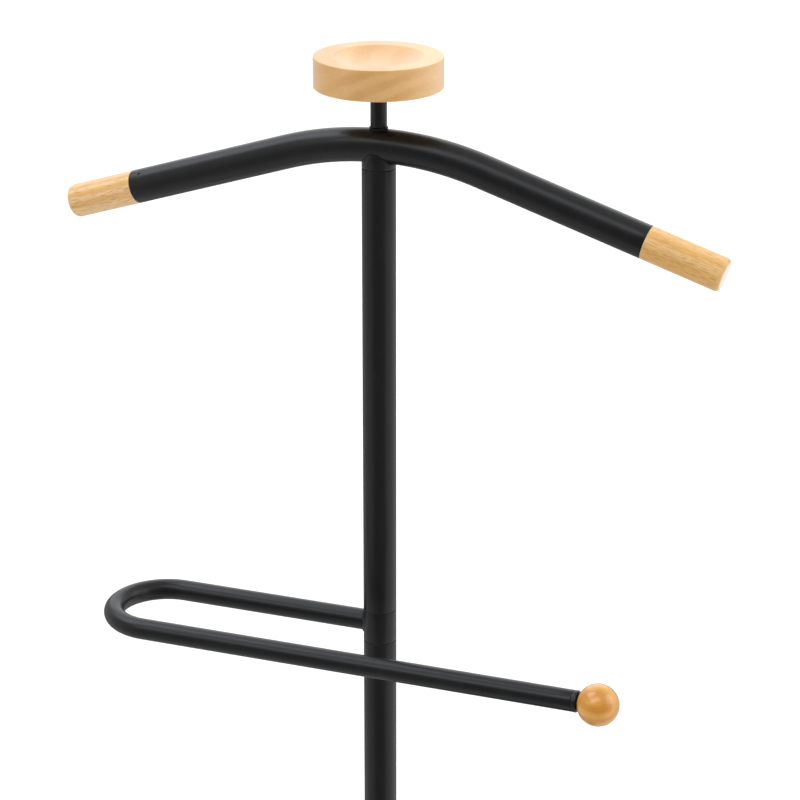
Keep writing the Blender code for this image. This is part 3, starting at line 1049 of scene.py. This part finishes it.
# fixings inside stay as the frame has them, with their own finish
inside = {
    "post_top_plug": zincPlate, "upper_joint_plug": zincPlate, "lower_joint_plug": zincPlate,
    "post_foot_plug": zincPlate, "coupling_stud": zincPlate, "clamp_stud": zincPlate, "tray_stud": zincPlate,
    "ball_stud": zincPlate, "base_bolt": zincPlate, "base_washer": zincPlate, "tray_insert": turnedBrass,
    "collar_bush": whiteNylon,
}
for node, material in inside.items():
    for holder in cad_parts[node].material_slots:
        holder.material = material
print("fixings finished")


def placeCamera():
    data = bpy.data.cameras.new("camera")
    data.lens = shot["lens"]
    data.sensor_width = shot["sensor"]
    data.dof.use_dof = False
    camera = bpy.data.objects.new("camera", data)
    bpy.context.scene.collection.objects.link(camera)
    camera.rotation_euler = Euler((math.pi / 2 - shot["tilt"], 0, shot["turn"]))
    back = camera.rotation_euler.to_matrix() @ Vector((0, 0, 1))
    camera.location = shot["aim"] + shot["distance"] * back
    bpy.context.scene.camera = camera


studio = {
    "floorColour": rgb(0.74, 0.74, 0.74),
    "floorSize": 30,
    "mottle": (0.985, 1.0),
    "walls": (0.78, 1.22),      # brightness of the room at the left and at the right
    "front": 0.28,              # share that is left on the dim side of the room, behind the camera
    "frontFade": (0.53, 0.79),
    "low": 0.35,                # share that is left low down behind the stand
    "lowAim": (180, -25),
    "lowFade": (0.55, 0.95),
    "lights": (                 # name, azimuth from the camera, height angle, width angle, brightness, tint
        ("leftBack", -126, 54, 44, 1.9, (0.93, 0.97, 1.06)),
        ("leftTop", -98, 58, 34, 2.1, (0.95, 0.97, 1.05)),
        ("overhead", -14, 55, 26, 2.2, (0.95, 0.97, 1.05)),
        ("leftBox", -43, 42, 26, 2.6, (0.96, 0.98, 1.04)),
        ("rightBox", 80, 30, 44, 1.9, (0.98, 0.98, 1.00)),
        ("backdrop", 180, 24, 50, 0.95, (0.97, 0.99, 1.03)),
    ),
}


def towards(azimuth, height):
    # direction from the stand, with azimuth 0 at the camera and positive to its right
    swing = shot["turn"] - math.pi / 2 + math.radians(azimuth)
    rise = math.radians(height)
    return Vector((math.cos(swing) * math.cos(rise), math.sin(swing) * math.cos(rise), math.sin(rise)))


def placeFloor():
    bm = bmesh.new()
    bmesh.ops.create_grid(bm, x_segments=8, y_segments=8, size=studio["floorSize"])
    material, tree, shader = newMaterial("paleFloor", Roughness=0.95, Specular_IOR_Level=0.1)
    mottle = remap(tree, noise(tree, localPoint(tree), 3.0), 0.3, 0.7, *studio["mottle"])
    tree.links.new(shaded(tree, studio["floorColour"], mottle), shader.inputs["Base Color"])
    floor = finishMesh("floor", bm, material)
    floor.location.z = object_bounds()[0][2]
    floor.visible_glossy = False


def placeRoom():
    # a soft white room that dims behind the camera and low down behind the stand
    world = bpy.data.worlds.new("studio")
    bpy.context.scene.world = world
    world.use_nodes = True
    tree = world.node_tree
    background = tree.nodes["Background"]
    direction = addNode(tree, "TexCoord").outputs["Generated"]

    def fading(aim, low, high, toLow, toHigh):
        return remap(tree, reachAlong(tree, direction, towards(*aim)), low, high, toLow, toHigh, "SMOOTHSTEP")

    strength = fading((90, 0), -1, 1, *studio["walls"])
    strength = combine(tree, "MULTIPLY", strength, fading((0, 0), *studio["frontFade"], 1, studio["front"]))
    strength = combine(tree, "MULTIPLY", strength,
                       fading(studio["lowAim"], *studio["lowFade"], 1, studio["low"]))
    tree.links.new(strength, background.inputs["Strength"])
    background.inputs["Color"].default_value = rgb(1, 1, 1)


def placeLights():
    # each light is a round patch of sky, so its energy follows from its width
    for name, azimuth, height, width, brightness, tint in studio["lights"]:
        data = bpy.data.lights.new(name, "SUN")
        data.color = tint
        data.angle = math.radians(width)
        data.energy = brightness * math.pi * math.sin(math.radians(width / 2)) ** 2
        light = bpy.data.objects.new(name, data)
        bpy.context.scene.collection.objects.link(light)
        light.rotation_euler = towards(azimuth, height).to_track_quat("Z", "Y").to_euler()


placeCamera()
placeFloor()
placeRoom()
placeLights()
bpy.context.scene.view_settings.view_transform = "Standard"
bpy.context.scene.view_settings.look = "None"
print("camera, floor and light set")
